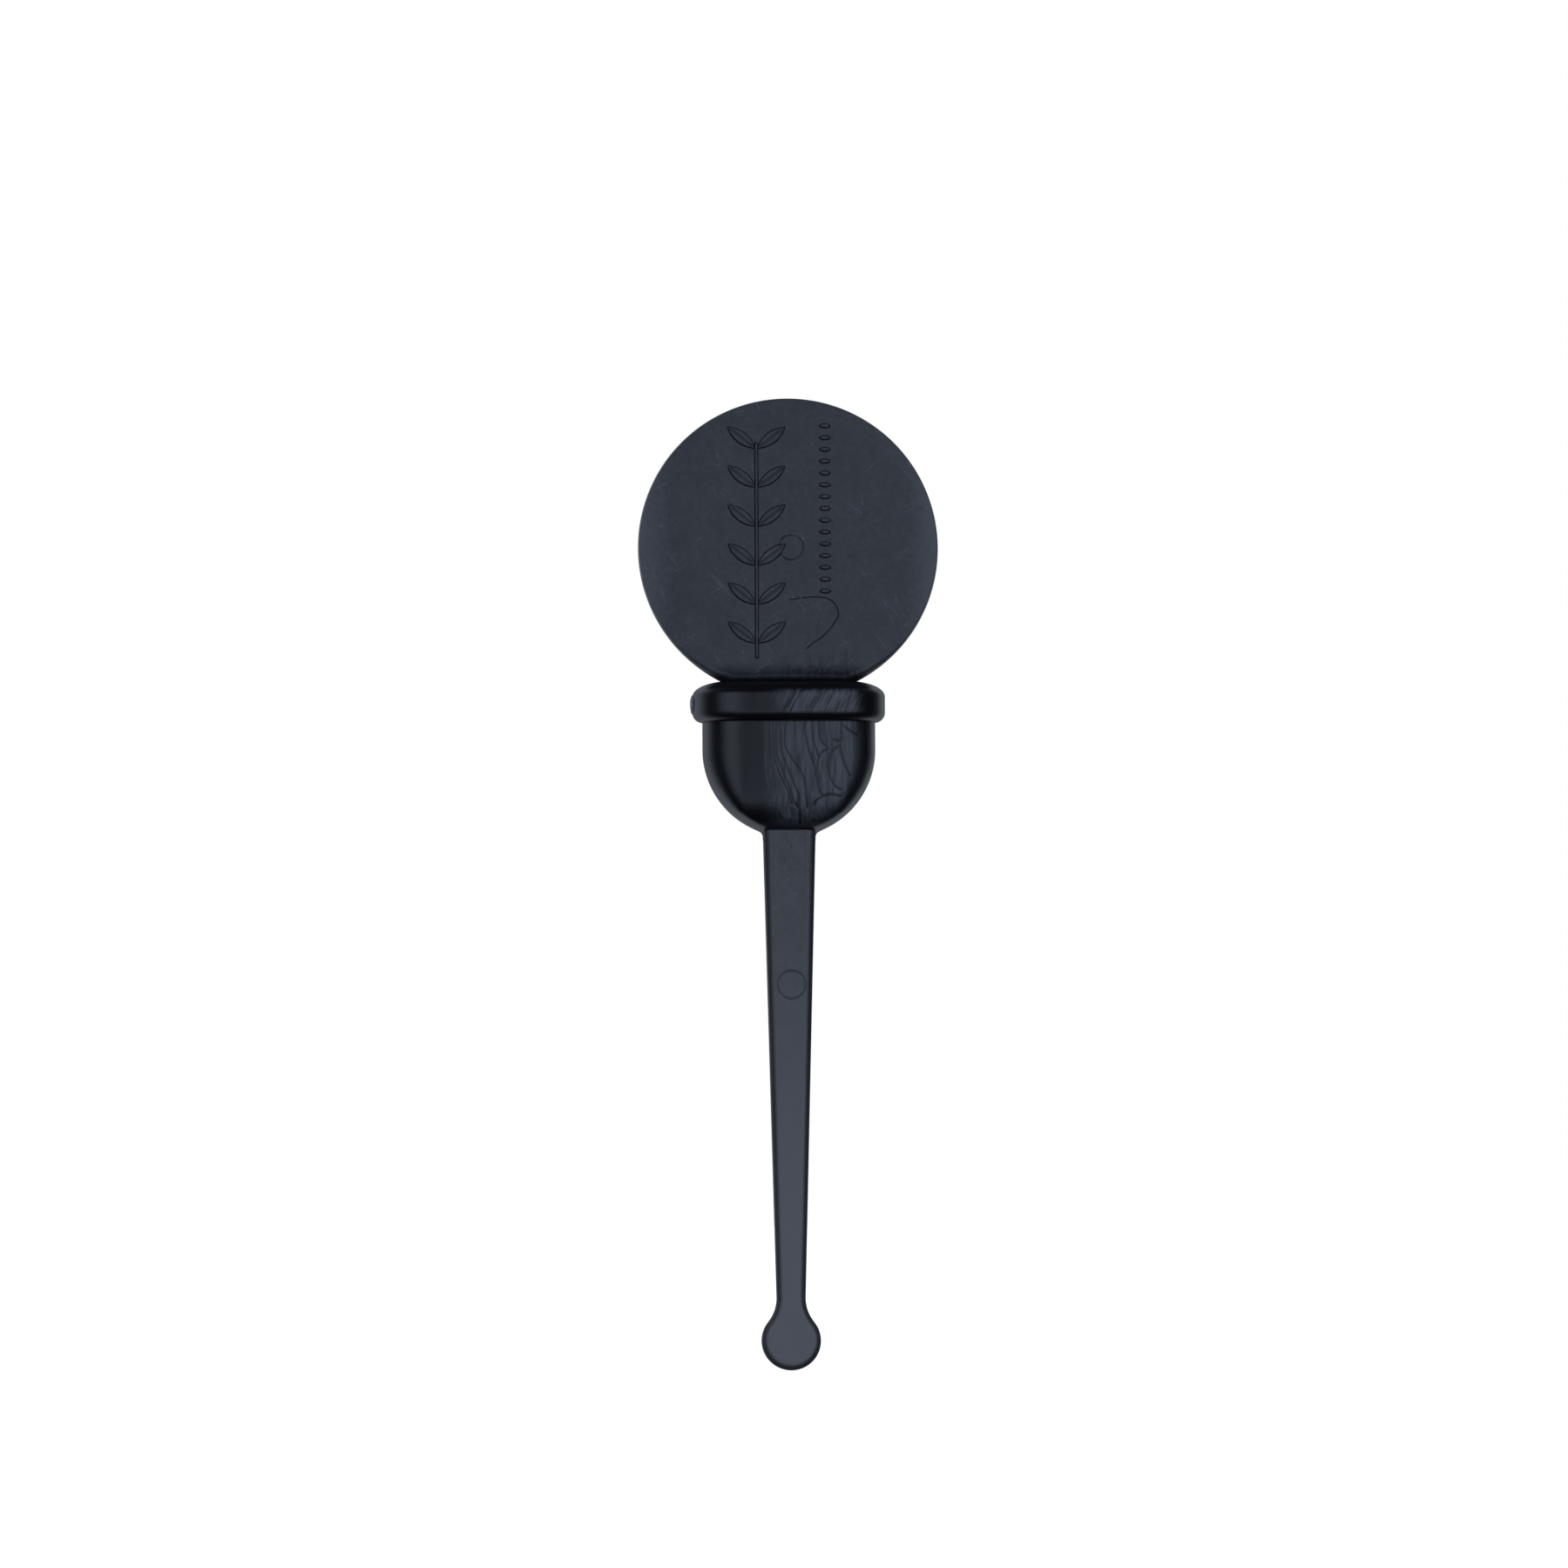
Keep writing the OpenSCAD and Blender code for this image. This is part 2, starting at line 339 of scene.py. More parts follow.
def matte_plastic(name, tones, streak_x, streak_z, streaks, foot_painted_light):
    """Spark-textured black plastic with scuffs, specks and, in one window, streaks of flow, with painted
    shade in the neck's crease and wherever the mesh carries it, and painted light at the foot and round the
    rim.
    """
    material, shader, at = plastic(name)
    x, z = across_and_up(at)
    grain = noise(at, 9.0, 3.0)
    blotch = noise(at, 0.55, 3.0)
    haze = noise(at, 2.3, 2.0)
    scuff = sum(scratches(at, *way) for way in SCRATCH_WAYS) * blotch.rise(0.45, 0.62)
    specks = spots(at, 1.15, 0.085, 0.40)
    flow = noise(at, 1.7, 0.0, (1.3, 1, 0.05), 0.0, 0.06)
    lines = (flow - 0.5).size().rise(0.05, 0.0) + (flow - 0.40).size().rise(0.04, 0.0)
    lines = lines * x.window(*streak_x, 1.2) * z.window(*streak_z, 0.9) * streaks
    # Painted shade makes the face darkest in the crease where the neck meets the collar. Painted light
    # makes it palest at the foot and round the rim, where the rim's roll-off catches the light.
    # Painted shade: the neck's crease is coloured near black. It is also rougher there.
    neck = z.rise(4.7, 3.5) * z.rise(-6.0, 0.0)
    ground = (haze * 0.5 + blotch * 0.5).rise(0.3, 0.7).blend(*tones)
    # Painted light: the colour grows paler towards the stick's foot.
    ground = z.rise(-8, -47).blend(ground, foot_painted_light)
    # Painted light: a paler band round the disc's rim, where its roll-off catches the light.
    ground = (x.size() + (haze - 0.5) * 1.5).rise(9.6, 12.9).blend(ground, RIM_PAINTED_LIGHT)
    marked = (specks * 0.8 + scuff * 0.42).blend(ground, SCUFFED)
    rough = 0.45 + 0.10 * (blotch - 0.5) + 0.05 * scuff + 0.10 * (grain - 0.5) + 0.18 * neck
    feed(shader, {
        # Painted shade: the mesh's own painted shade and the neck's crease take the colour to near black.
        # The flow streaks darken it too.
        "Base Color": (groove_of(at) + lines + neck * 0.85).rise(0, 1).blend(marked, DARK),
        "Roughness": rough,
    })
    texture_bump(shader, grain * 0.6 + scuff * 0.25 + specks * 0.6 - lines * 1.2, MATTE_GRAIN)
    return material


DISC_TONES = ((0.049, 0.053, 0.061, 1), (0.067, 0.071, 0.081, 1))
disc_plastic = matte_plastic("disc_plastic", DISC_TONES, (0.2, 5.4), (3.0, 5.5), 0.6, DISC_TONES[1])

# Each face is a net of rings round the pin's mark. They end at the outline, which is the disc's
# circle down to the collar and a level line there.
ROUND_STEPS = 288
turn = np.linspace(0, 2 * math.pi, ROUND_STEPS, endpoint=False)
way_x = np.cos(turn)
way_z = np.sin(turn)
downwards = np.minimum(way_z, -0.05)
to_circle = -PIN_X * way_x + np.sqrt(DISC_R ** 2 - (PIN_X * way_z) ** 2)
to_collar = np.where(way_z < -0.05, (COLLAR_TOP - NECK_SINK - DISC_Z) / downwards, 1.0)
reach = np.minimum(to_circle, to_collar)
# The edge is nearly sharp round the disc, and rounder where the neck flares at its foot.
edge_half = face_height(PIN_X + reach * way_x, DISC_Z + reach * way_z)
edge_r = (0.12 + 0.40 * np.clip((-0.62 - way_z) / 0.2, 0, 1)) * MM
face_reach = reach - (edge_half - edge_r) * DISC_DRAFT - edge_r
pin_rings = np.concatenate([np.linspace(0, PIN_R - 0.15 * MM, 5)[1:],
                            PIN_R + np.linspace(-0.12, 0.12, 9) * MM, [PIN_R + 0.25 * MM]])
face_rings = [np.full(ROUND_STEPS, radius) for radius in pin_rings]
for share in 1 - (1 - np.linspace(0, 1, 46)[1:]) ** 1.15:
    face_rings.append(pin_rings[-1] + (face_reach - pin_rings[-1]) * share)
edge_angles = np.radians(np.linspace(0, 90, 7)[1:])
last_height = face_height(PIN_X + face_reach * way_x, DISC_Z + face_reach * way_z)
patchy = 0.5 + 0.3 * np.sin(3 * turn + 1)
disc_points = []
disc_groove = []
for side in (-1, 1):
    for radius in face_rings:
        x = PIN_X + radius * way_x
        z = DISC_Z + radius * way_z
        y = face_height(x, z) - (side < 0) * PIN_GROOVE * bump_line(radius - PIN_R, 0.05 * MM)
        disc_points += list(zip(x, side * y, z))
        # Painted shade in the groove of the pin's mark, patchy round the ring.
        disc_groove += list((side < 0) * patchy * bump_line(radius - PIN_R, 0.06 * MM))
    for angle in edge_angles:
        radius = face_reach + edge_r * math.sin(angle)
        y = last_height - edge_r * (1 - math.cos(angle))
        disc_points += list(zip(PIN_X + radius * way_x, side * y, DISC_Z + radius * way_z))
        disc_groove += [0] * ROUND_STEPS
ring_count = len(face_rings) + len(edge_angles)
front_centre = len(disc_points)
centre_height = face_height(np.array([PIN_X]), np.array([DISC_Z]))[0]
disc_points += [(PIN_X, -centre_height, DISC_Z), (PIN_X, centre_height, DISC_Z)]
first_rim = len(disc_points)
disc_points += list(zip(PIN_X + reach * way_x, reach * 0, DISC_Z + reach * way_z))
disc_groove += [0] * (len(disc_points) - len(disc_groove))
disc_faces = []
for side in (0, 1):
    inner = side * ring_count * ROUND_STEPS
    outer = inner + (ring_count - 1) * ROUND_STEPS
    disc_faces += net_faces(ring_count, ROUND_STEPS, inner, round_columns=True)
    for j in range(ROUND_STEPS):
        k = (j + 1) % ROUND_STEPS
        disc_faces.append([front_centre + side, inner + j, inner + k])
        disc_faces.append([outer + j, outer + k, first_rim + k, first_rim + j])
thumb_disc = piece_from("thumb_disc_moulding", disc_points, disc_faces, disc_plastic, disc_groove)
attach(thumb_disc, "root")
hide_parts("thumb_disc", "disc_neck")

# ---------------------------------------------------------------------------------------------
# The raised decoration. A leafy sprig and a column of seeds, standing a fifth of a millimetre
# proud of the disc, with steep walls all round, coloured near black as painted shade so they show as thin
# dark outlines.

sprig_low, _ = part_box("sprig_relief")
seed_low, seed_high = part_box("seed_relief")
RELIEF_H = disc_low.y - sprig_low.y
RELIEF_SINK = 0.10 * MM
WALL = 0.14 * MM
RIB_WIDTH = 0.055 * MM
RIB_DEPTH = 0.10 * MM


def raised_patch(length, half_width, rib_depth, along=26, across=25):
    """A raised patch lying along X from the origin: steep walls, flat top, and a sunk rib if asked.

    It comes back as its points, its faces and how much painted shade each point carries: near black on its
    walls and in its rib.
    """
    share = (1 - np.cos(np.linspace(0, math.pi, along))) / 2
    x = length * share
    half = np.array([half_width(s) for s in share])
    lean = 1 / np.sqrt(1 + np.gradient(half, x) ** 2)
    v = np.linspace(-1, 1, across)
    v = np.sign(v) * (1 - (1 - np.abs(v)) ** 1.5)
    px, pv = np.meshgrid(x, v, indexing="ij")
    py = pv * half[:, None]
    from_end = np.minimum(px, length - px) * 0.8
    inset = np.minimum((half[:, None] - np.abs(py)) * lean[:, None], from_end)
    wall = np.clip(inset / WALL, 0, 1)
    wall = wall * wall * (3 - 2 * wall)
    rib = rib_depth * bump_line(py, RIB_WIDTH) * np.clip((inset - WALL) / WALL, 0, 1)
    top = wall * (RELIEF_H + RELIEF_SINK) - RELIEF_SINK - rib
    points = list(zip(px.ravel(), py.ravel(), top.ravel()))
    points += list(zip(px.ravel(), py.ravel(), np.full(px.size, -RELIEF_SINK)))
    # Painted shade on the walls and in the rib.
    dark = np.clip(2.1 - inset / (0.6 * WALL), 0, 1) + 0.6 * rib / RIB_DEPTH
    dark = np.concatenate([dark.ravel(), np.zeros(px.size)])
    return points, net_faces(along, across) + net_faces(along, across, along * across), dark


def row_of(name, patch, material, inputs, sides=("Lean",)):
    """Repeats a raised patch up the disc's front face, with a lean for each side it stands on."""
    tree = bpy.data.node_groups.new(name, "GeometryNodeTree")
    sockets = {"Patch": "NodeSocketGeometry", "Count": "NodeSocketInt", "Pitch": "NodeSocketFloat",
               "Foot": "NodeSocketVector", "Plastic": "NodeSocketMaterial"}
    sockets.update({side: "NodeSocketFloat" for side in sides})
    for key, kind in sockets.items():
        tree.interface.new_socket(key, in_out="INPUT", socket_type=kind)
    tree.interface.new_socket("Row", in_out="OUTPUT", socket_type="NodeSocketGeometry")
    start = Wire(tree)
    entry = tree.nodes.new("NodeGroupInput")
    given = {key: Wire(tree, entry.outputs[key]) for key in sockets}
    step = start.node("ShaderNodeCombineXYZ", {}, {2: given["Pitch"]})
    line = start.node("GeometryNodeMeshLine", {}, {
        "Count": given["Count"], "Start Location": given["Foot"], "Offset": step})
    joined = tree.nodes.new("GeometryNodeJoinGeometry")
    for side in sides:
        upright = start.node("ShaderNodeCombineXYZ", {}, {0: math.pi / 2, 1: -given[side]})
        copies = start.node("GeometryNodeInstanceOnPoints", {}, {
            "Points": line, "Instance": given["Patch"], "Rotation": upright})
        tree.links.new(copies.socket, joined.inputs[0])
    real = start.node("GeometryNodeRealizeInstances", {}, {0: Wire(tree, joined.outputs[0])})
    painted = start.node("GeometryNodeSetMaterial", {}, {0: real, "Material": given["Plastic"]})
    tree.links.new(painted.socket, tree.nodes.new("NodeGroupOutput").inputs[0])
    points, faces, dark = patch
    row = piece_from(name, points, faces, material, dark)
    modifier = row.modifiers.new(name, "NODES")
    modifier.node_group = tree
    for item in tree.interface.items_tree:
        if item.in_out == "INPUT" and item.name in inputs:
            modifier[item.identifier] = inputs[item.name]
    bpy.context.view_layer.update()
    solid = row.evaluated_get(bpy.context.evaluated_depsgraph_get())
    finished = bpy.data.meshes.new_from_object(solid)
    row.modifiers.clear()
    row.data = finished
    return row


def leaf_half(width):
    """Half width of a leaf along its length, from 0 to 1."""
    return lambda share: width / 2 * (4 * share * (1 - share)) ** 0.9


def bar_half(width, length):
    """Half width of a round-ended bar along its length, from 0 to 1."""
    def half(share):
        end = min(share, 1 - share) * length
        return width / 2 if end > width / 2 else math.sqrt(max(width * end - end * end, 0))
    return half


def seed_half(share):
    """Half width of an oval seed along its length, from 0 to 1."""
    return SEED_WIDTH * math.sqrt(share * (1 - share))


FRONT = disc_low.y + SKIN
SPRIG_X = -2.7 * MM
SPRIG_FOOT = sprig_low.z
LEAF_COUNT = 6
LEAF_PITCH = 3.3 * MM
LEAF_START = 1.3 * MM
LEAF_LEAN = math.radians(38)
LEAF_LENGTH = 3.2 * MM
LEAF_WIDTH = 1.15 * MM
leaf = raised_patch(LEAF_LENGTH, leaf_half(LEAF_WIDTH), RIB_DEPTH)
sprig = row_of("sprig_leaves", leaf, disc_plastic, {
    "Count": LEAF_COUNT, "Pitch": LEAF_PITCH, "Foot": (SPRIG_X, FRONT, SPRIG_FOOT + LEAF_START),
    "Lean": LEAF_LEAN, "Other Lean": math.pi - LEAF_LEAN, "Plastic": disc_plastic,
}, ("Lean", "Other Lean"))
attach(sprig, "root")
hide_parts("sprig_relief")

TWIG_WIDTH = 0.42 * MM
twig_length = LEAF_COUNT * LEAF_PITCH - LEAF_START
bar = raised_patch(twig_length, bar_half(TWIG_WIDTH, twig_length), 0, 60)
twig = row_of("sprig_twig", bar, disc_plastic, {
    "Count": 1, "Foot": (SPRIG_X, FRONT, SPRIG_FOOT), "Lean": math.pi / 2, "Plastic": disc_plastic})
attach(twig, "root")
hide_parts("sprig_relief")

SEED_COUNT = 15
SEED_PITCH = 1.0 * MM
SEED_LENGTH = 1.1 * MM
SEED_WIDTH = 0.55 * MM
seed = raised_patch(SEED_LENGTH, seed_half, 0, 15, 15)
seeds = row_of("seed_column", seed, disc_plastic, {
    "Count": SEED_COUNT, "Pitch": -SEED_PITCH,
    "Foot": (seed_low.x, FRONT, seed_high.z - SEED_LENGTH / 4), "Lean": 0.0, "Plastic": disc_plastic})
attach(seeds, "root")
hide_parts("seed_relief")

# ---------------------------------------------------------------------------------------------
# The insert's witness line. The mould's face held a small steel insert, and plastic crept into
# the gap round it, leaving a hair-thin raised line that runs part of the way round its outline.


def smooth_route(knots, steps):
    """A smooth line through knots given in millimetres, with a number of steps between each two."""
    knots = np.array(knots, float) * MM
    padded = np.vstack([2 * knots[0] - knots[1], knots, 2 * knots[-1] - knots[-2]])
    along = np.linspace(0, len(knots) - 1, steps * (len(knots) - 1) + 1)
    cell = np.minimum(along.astype(int), len(knots) - 2)
    t = (along - cell)[:, None]
    p0, p1, p2, p3 = (padded[cell + k] for k in range(4))
    return 0.5 * (2 * p1 + (p2 - p0) * t + (2 * p0 - 5 * p1 + 4 * p2 - p3) * t ** 2
                  + (3 * p1 - p0 - 3 * p2 + p3) * t ** 3)


# The line's knots, as x and z on the disc's face in millimetres.
INSERT_KNOTS = [(0.1, 10.4), (1, 10.5), (1.9, 10.6), (3.2, 10.5), (3.9, 10), (4.2, 9.1), (3.7, 8.2),
                (2.9, 7.3), (1.9, 6.6), (1.5, 6.2)]
LINE_R = 0.06 * MM
LINE_SIDES = 10
route = smooth_route(INSERT_KNOTS, 12)
heading = np.gradient(route, axis=0)
heading /= np.linalg.norm(heading, axis=1)[:, None]
line_points = []
for (line_x, line_z), (head_x, head_z) in zip(route, heading):
    for angle in np.linspace(0, 2 * math.pi, LINE_SIDES, endpoint=False):
        aside = LINE_R * math.cos(angle)
        y = FRONT + 0.02 * MM + LINE_R * 1.2 * math.sin(angle)
        line_points.append((line_x - head_z * aside, y, line_z + head_x * aside))
line_faces = net_faces(len(route), LINE_SIDES, round_columns=True)
line_faces += [list(range(LINE_SIDES)), list(range(len(line_points) - LINE_SIDES, len(line_points)))]
# Painted shade: the whole line is coloured near black for the shade along its sides.
insert_line = piece_from("insert_line", line_points, line_faces, disc_plastic, [1.0] * len(line_points))
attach(insert_line, "root")

# ---------------------------------------------------------------------------------------------
# Crumbs of flash. A few pale crumbs of torn plastic cling to the disc's face, along the witness
# line and round the ejector pin's mark, pressed flat where parts rubbed together in the bag.

crumb_plastic, shader, at = plastic("crumb_plastic")
mottle = noise(at, 5.0, 2.0)
feed(shader, {"Base Color": mottle.blend((0.13, 0.13, 0.12, 1), (0.34, 0.33, 0.29, 1)),
              "Roughness": 0.5 + 0.2 * mottle})
# Each crumb's x, z and radius in millimetres, and its turn.
CRUMBS = [(0.35, 10.5, 0.075, 0.5), (1.05, 10.53, 0.10, 0.2), (1.55, 10.6, 0.07, 2.0),
          (1.62, 6.62, 0.08, 1.0), (1.35, 7.3, 0.05, 0.0), (-0.1, 15.9, 0.07, 1.4),
          (0.45, 15.95, 0.06, 0.3), (1.25, 15.55, 0.08, 2.5), (-0.85, 15.3, 0.05, 0.9),
          (2.1, 14.9, 0.06, 0.0), (-4.9, 8.3, 0.06, 1.0), (6.3, 15.2, 0.05, 0.5)]
CRUMB_SIDES = 12
CRUMB_PROFILE = ((-0.4, 0.9), (0.15, 1.0), (0.4, 0.72), (0.5, 0.3))
crumb_points = []
crumb_faces = []
for crumb_x, crumb_z, radius, spin in CRUMBS:
    first = len(crumb_points)
    for height, share in CRUMB_PROFILE:
        for angle in np.linspace(0, 2 * math.pi, CRUMB_SIDES, endpoint=False):
            ragged = 1 + 0.25 * math.sin(3 * angle + spin) + 0.15 * math.sin(5 * angle + 2 * spin)
            out = radius * share * ragged
            crumb_points.append(((crumb_x + out * math.cos(angle)) * MM, FRONT - radius * height * MM,
                                 (crumb_z + out * math.sin(angle)) * MM))
    last = len(crumb_points) - CRUMB_SIDES
    crumb_faces += net_faces(len(CRUMB_PROFILE), CRUMB_SIDES, first, round_columns=True)
    crumb_faces += [list(range(first, first + CRUMB_SIDES)), list(range(last, last + CRUMB_SIDES))]
crumbs = piece_from("flash_crumbs", crumb_points, crumb_faces, crumb_plastic)
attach(crumbs, "root")

# ---------------------------------------------------------------------------------------------
# The collar. An oblong bead with a domed top and a rounded underside, glossy where the hot
# plastic lay still against the steel and streaked where it was still sliding.

_, collar_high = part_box("seal_collar")
COLLAR_HALF = collar_high.x
COLLAR_R = collar_high.y
COLLAR_H = collar_high.z
SPINE = COLLAR_HALF - COLLAR_R
# Below this height the stopper's sides curve in towards the stick.
STRAIGHT = -2.3 * MM
GLOSS_GRAIN = 0.022 * MM


def gloss_plastic(name, lie, flow_from, streaky, band):
    """Glossy black plastic, hazed with streaks of flow past flow_from and inside a band of heights, and
    coloured near black wherever the mesh carries painted shade.
    """
    material, shader, at = plastic(name)
    x, z = across_and_up(at)
    wander = noise(at, 0.5, 2.0)
    below = z.maths("MAXIMUM", STRAIGHT / MM - z, 0)
    from_middle = z.maths("SQRT", x * x + 0.8 * below * below, 0)
    flow = (x + (wander - 0.5) * 1.5).rise(flow_from - 1.4, flow_from + 1.4)
    flow = flow * from_middle.rise(6.5, 4.9) * z.window(*band, 0.35)
    streak = noise(at, 2.4, 2.0, (1, 1, 0.12), lie, 0.4)
    fine = noise(at, 4.5, 2.0, (1, 1, 0.10), lie, 0.2)
    grain = noise(at, 11.0, 2.0)
    haze = flow * (0.55 + streaky * (streak - 0.5) + 1.5 * streaky * (fine - 0.5)).rise(0.0, 1.0)
    tone = haze.blend((0.004, 0.005, 0.008, 1), (0.120, 0.128, 0.145, 1))
    # Painted shade: the colour goes near black wherever the mesh carries painted shade.
    feed(shader, {"Base Color": groove_of(at).blend(tone, DARK),
                  "Roughness": 0.34 + 0.08 * flow + 0.05 * (grain - 0.5)})
    texture_bump(shader, flow * fine * 0.8 + grain * 0.10 + wander * 1.2 * (1 - flow), GLOSS_GRAIN)
    return material


def soft_ring(wide, deep, end, front_steps, back_steps):
    """An oblong outline, once round, whose flat sides curve gently into ends of a given length.

    The steps are those along each end and along the flat, for the front and for the back.
    """
    flat = wide - end - min(0.5 * end, wide - end)
    halves = []
    for end_steps, flat_steps in (front_steps, back_steps):
        share = np.sin(np.linspace(0, math.pi / 2, end_steps))
        end_x = flat + (wide - flat) * share
        end_y = deep * np.sqrt(np.clip(1 - share ** 2.5, 0, 1))
        middle = np.linspace(-flat, flat, flat_steps + 2)[1:-1]
        halves.append((np.concatenate([-end_x[::-1], middle, end_x]),
                       np.concatenate([end_y[::-1], np.full(flat_steps, deep), end_y])))
    (front_x, front_y), (back_x, back_y) = halves
    return np.concatenate([front_x, back_x[::-1][1:-1]]), np.concatenate([-front_y, back_y[1:-1]])


def capped(rows, columns):
    """Faces of a net whose rows are rings, with a cap on its first and its last ring."""
    last = (rows - 1) * columns
    caps = [list(range(columns)), list(range(last, last + columns))]
    return net_faces(rows, columns, round_columns=True) + caps


DOME_REACH = 3.0 * MM
DOME_H = 1.3 * MM
LOW_ROUND = 0.85 * MM
upright = COLLAR_H - LOW_ROUND - DOME_H
quarter = np.radians(np.linspace(0, 90, 15))
section = [(COLLAR_R - LOW_ROUND * (1 - math.sin(a)), LOW_ROUND * (1 - math.cos(a))) for a in quarter]
section += [(COLLAR_R, LOW_ROUND + upright * k / 5) for k in range(1, 5)]
section += [(COLLAR_R - DOME_REACH * (1 - math.cos(a)), COLLAR_H - DOME_H * (1 - math.sin(a)))
            for a in quarter]
collar_points = []
for radius, z in section:
    ring_x, ring_y = soft_ring(SPINE + radius, radius, radius, (56, 60), (56, 60))
    collar_points += list(zip(ring_x, ring_y, np.full(ring_x.size, z)))
collar_plastic = gloss_plastic("collar_plastic", -0.45, -0.9, 1.5, (0.9, 2.45))
collar_faces = capped(len(section), ring_x.size)
collar = piece_from("seal_collar_bead", collar_points, collar_faces, collar_plastic)
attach(collar, "root")
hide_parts("seal_collar")

# ---------------------------------------------------------------------------------------------
# The gate's stub. Where the runner was twisted off the collar's left end it left a low rough
# nub, coloured paler than the rest as painted rim light.

torn_stub_painted_light, shader, at = plastic("torn_stub_painted_light")
torn = noise(at, 6.0, 4.0)
# Painted rim light: the stub is coloured pale bluish grey.
feed(shader, {"Base Color": torn.rise(0.35, 0.65).blend((0.11, 0.118, 0.13, 1), (0.29, 0.30, 0.32, 1)),
              "Roughness": 0.35 + 0.2 * torn})
texture_bump(shader, torn, 0.03 * MM)
gate_low, gate_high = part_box("gate_vestige")
GATE_R = (gate_high.z - gate_low.z) / 2
GATE_Z = (gate_high.z + gate_low.z) / 2
GATE_PROUD = (-COLLAR_HALF - gate_low.x) * 0.75
GATE_ROOT = -COLLAR_HALF + 0.3 * MM
GATE_SIDES = 40
gate_points = []
for tilt in np.radians(np.linspace(0, 90, 14)):
    for angle in np.linspace(0, 2 * math.pi, GATE_SIDES, endpoint=False):
        radius = GATE_R * math.sin(tilt) * (1 + 0.05 * math.sin(3 * angle + 1) + 0.03 * math.sin(7 * angle))
        proud = GATE_PROUD * math.cos(tilt) * (1 + 0.15 * math.sin(2 * angle) * math.sin(tilt))
        y = radius * math.cos(angle)
        gate_points.append((-COLLAR_HALF - proud, y, GATE_Z + radius * math.sin(angle)))
gate_points += [(GATE_ROOT, y, z) for x, y, z in gate_points[-GATE_SIDES:]]
gate_faces = net_faces(15, GATE_SIDES, round_columns=True)
gate_faces += [list(range(len(gate_points) - GATE_SIDES, len(gate_points)))]
gate = piece_from("gate_stub", gate_points, gate_faces, torn_stub_painted_light)
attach(gate, "root")
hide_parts("gate_vestige")

# ---------------------------------------------------------------------------------------------
# The stopper. An oblong plug with a rounded bottom. The plastic jetted into this thick part of
# the mould and folded as it froze, which left fine curling lines on its face.

_, stopper_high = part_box("stopper_plug")
_, stem_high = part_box("stem")
STOPPER_HALF = stopper_high.x
STOPPER_R = stopper_high.y
STOPPER_RISE = 0.3 * MM
STOPPER_END = -9.93 * MM
STEM_HALF = stem_high.x
STEM_DEPTH = stem_high.y

# The folds, each a line through knots given as x and z on the face in millimetres.
FOLDS = [
    [(-0.4, 0), (-0.5, -1.9), (-0.2, -2.7), (0.3, -3.5), (0.9, -4.4), (1.2, -5.3), (1.4, -7.3)],
    [(-0.9, 0), (-0.8, -2.3), (-0.5, -3.4), (0.4, -5.6), (0.7, -6.6), (0.8, -8.5)],
    [(-1.2, 0), (-1.2, -2.3), (-1, -3.4), (-0.1, -5.7), (0.2, -6.7), (0.6, -7.3)],
    [(-1.5, 0), (-1.4, -2.7), (-1.1, -4.1), (-0.6, -5.2), (-0.2, -6), (0.1, -7)],
    [(-2, 0), (-2, -3.3), (-1.7, -6)],
    [(1.8, 0.1), (1.9, -1.6), (2.4, -3.1)],
    [(1.3, 0.1), (1.2, -0.8), (1.6, -2.7), (2, -3.8), (2.1, -4.7)],
    [(2.4, 0.1), (2.5, -1.5), (3.1, -2.3)],
    [(3.1, -2.3), (2.5, -2.8), (2.3, -3.5), (2.2, -4.3), (2.4, -5.8), (2.7, -6.4)],
    [(4.3, 0), (4.3, -1.5), (4, -1.7), (3.6, -1.6)],
    [(4.4, -0.4), (5.2, -0.9), (5.7, -1.2)],
    [(4.1, -2.1), (3.5, -2.5), (3.2, -3.1), (3.1, -3.8), (3.3, -4.7), (3.7, -5.5), (4.2, -5.8)],
    [(4.1, -2.1), (4.5, -3.5), (5.1, -4.6)],
    [(2, -7.1), (2.3, -6.6), (2.9, -6.3), (3.5, -6.2), (4.2, -6.4)],
]
FOLD_WIDTH = 0.095 * MM
FOLD_DEPTH = 0.045 * MM


def fold_depth(x, z):
    """Depth of the folds at places on the stopper's face, from 0 to 1."""
    depth = np.zeros_like(x)
    for knots in FOLDS:
        nearest = np.full_like(x, 1.0)
        for fold_x, fold_z in smooth_route(knots, 48):
            nearest = np.minimum(nearest, (x - fold_x) ** 2 + (z - fold_z) ** 2)
        depth = np.maximum(depth, np.exp(-nearest / FOLD_WIDTH ** 2))
    return depth


NECK_HALF = STEM_HALF - 0.03 * MM
NECK_BLEND = 0.50287 * MM
ROUND_FROM = -3.2 * MM
ROUND_DROP = 6.15 * MM


def stopper_widths(z):
    """Half width and half depth of the stopper at a height, blended into the stem at the bottom."""
    below = max(STRAIGHT - z, 0)
    bowl = math.sqrt(max(STOPPER_HALF ** 2 - below ** 2, 0))
    wide = (bowl + NECK_HALF + math.hypot(bowl - NECK_HALF, NECK_BLEND)) / 2
    fall = min(max((ROUND_FROM - z) / ROUND_DROP, 0), 1)
    deep = STOPPER_R * math.sqrt(1 - fall ** 4.5)
    return wide, max(deep, 0.25 * MM)


